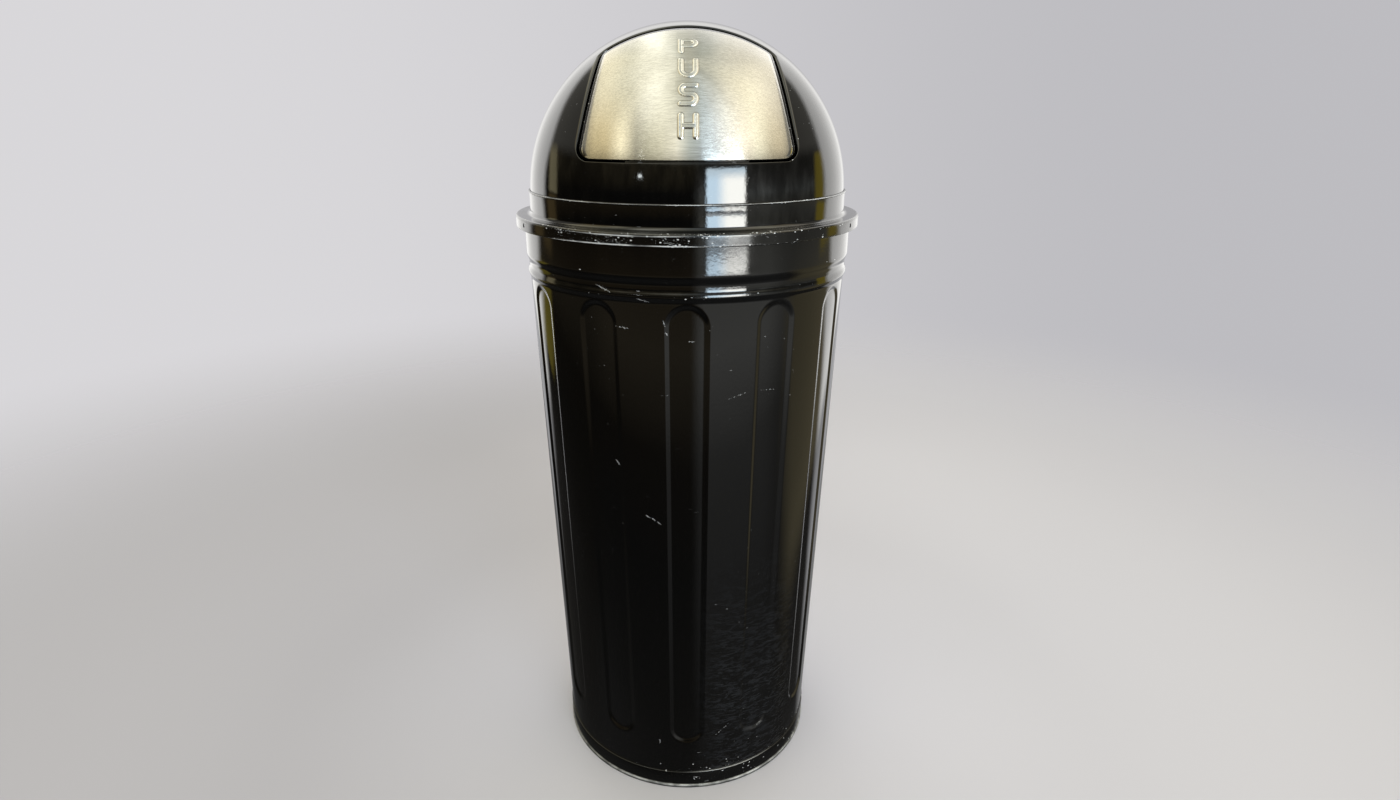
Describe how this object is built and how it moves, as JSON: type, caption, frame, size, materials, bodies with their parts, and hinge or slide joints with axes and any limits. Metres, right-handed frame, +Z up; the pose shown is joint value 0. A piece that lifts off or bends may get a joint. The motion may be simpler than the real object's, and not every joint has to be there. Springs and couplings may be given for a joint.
{
  "type": "dome top waste receptacle",
  "caption": "Fluted round steel waste receptacle with a black dome lid, a sprung stainless push door and a lift-out liner",
  "frame": {"origin": "centre of the floor ring's underside, on the axis of the bin", "axes": "+Z up along the bin's axis, the push door faces -Y, +X is to the right seen from the front"},
  "size_m": [0.3998, 0.3998, 0.9155],
  "materials": {
    "black_enamel": "high gloss black enamel",
    "brushed_stainless": "horizontal brushed grain",
    "galvanised": "hot dipped zinc, dull",
    "plated_steel": "zinc plated wire and plate",
    "vinyl": "soft black vinyl",
    "rubber": "moulded black rubber"
  },
  "bodies": {
    "bin": {"body_shell": "black_enamel", "rim_wire": "plated_steel", "bottom_pan": "black_enamel", "base_hoop": "black_enamel", "floor_guard": "vinyl"},
    "liner": {"liner_wall": "galvanised", "liner_bottom": "galvanised", "liner_rim_wire": "plated_steel", "liner_ear_left": "galvanised", "liner_ear_right": "galvanised", "liner_rivets": "plated_steel"},
    "handle_left": {"liner_handle_left": "plated_steel"},
    "handle_right": {"liner_handle_right": "plated_steel"},
    "lid": {"lid_dome": "black_enamel", "lid_collar": "black_enamel", "hinge_bracket_left": "plated_steel", "hinge_bracket_right": "plated_steel", "hinge_rod": "plated_steel", "rod_clips": "plated_steel", "door_spring_left": "plated_steel", "door_spring_right": "plated_steel"},
    "door": {"door_panel": "black_enamel", "door_face": "brushed_stainless", "hinge_lug_left": "plated_steel", "hinge_lug_right": "plated_steel", "door_stop": "black_enamel", "door_bumpers": "rubber"}
  },
  "joints": [
    {"name": "lid_lift", "type": "slide", "parent": "bin", "child": "lid", "axis": [0, 0, 1], "range_m": [0, 0.8]},
    {"name": "liner_lift", "type": "slide", "parent": "bin", "child": "liner", "axis": [0, 0, 1], "range_m": [0, 0.72]},
    {"name": "door_hinge", "type": "hinge", "parent": "lid", "child": "door", "pos_m": [0, -0.072, 0.86796], "axis": [1, 0, 0], "range_deg": [0, 65], "stiffness_Nm_per_rad": 0.8, "springref_deg": -45.84},
    {"name": "handle_left_hinge", "type": "hinge", "parent": "liner", "child": "handle_left", "pos_m": [-0.17014, 0, 0.652], "axis": [0, -1, 0], "range_deg": [0, 175]},
    {"name": "handle_right_hinge", "type": "hinge", "parent": "liner", "child": "handle_right", "pos_m": [0.17014, 0, 0.652], "axis": [0, 1, 0], "range_deg": [0, 175]}
  ],
  "couplings": [
    {"joint": "liner_lift", "follows": "lid_lift", "ratio": 0.9}
  ]
}
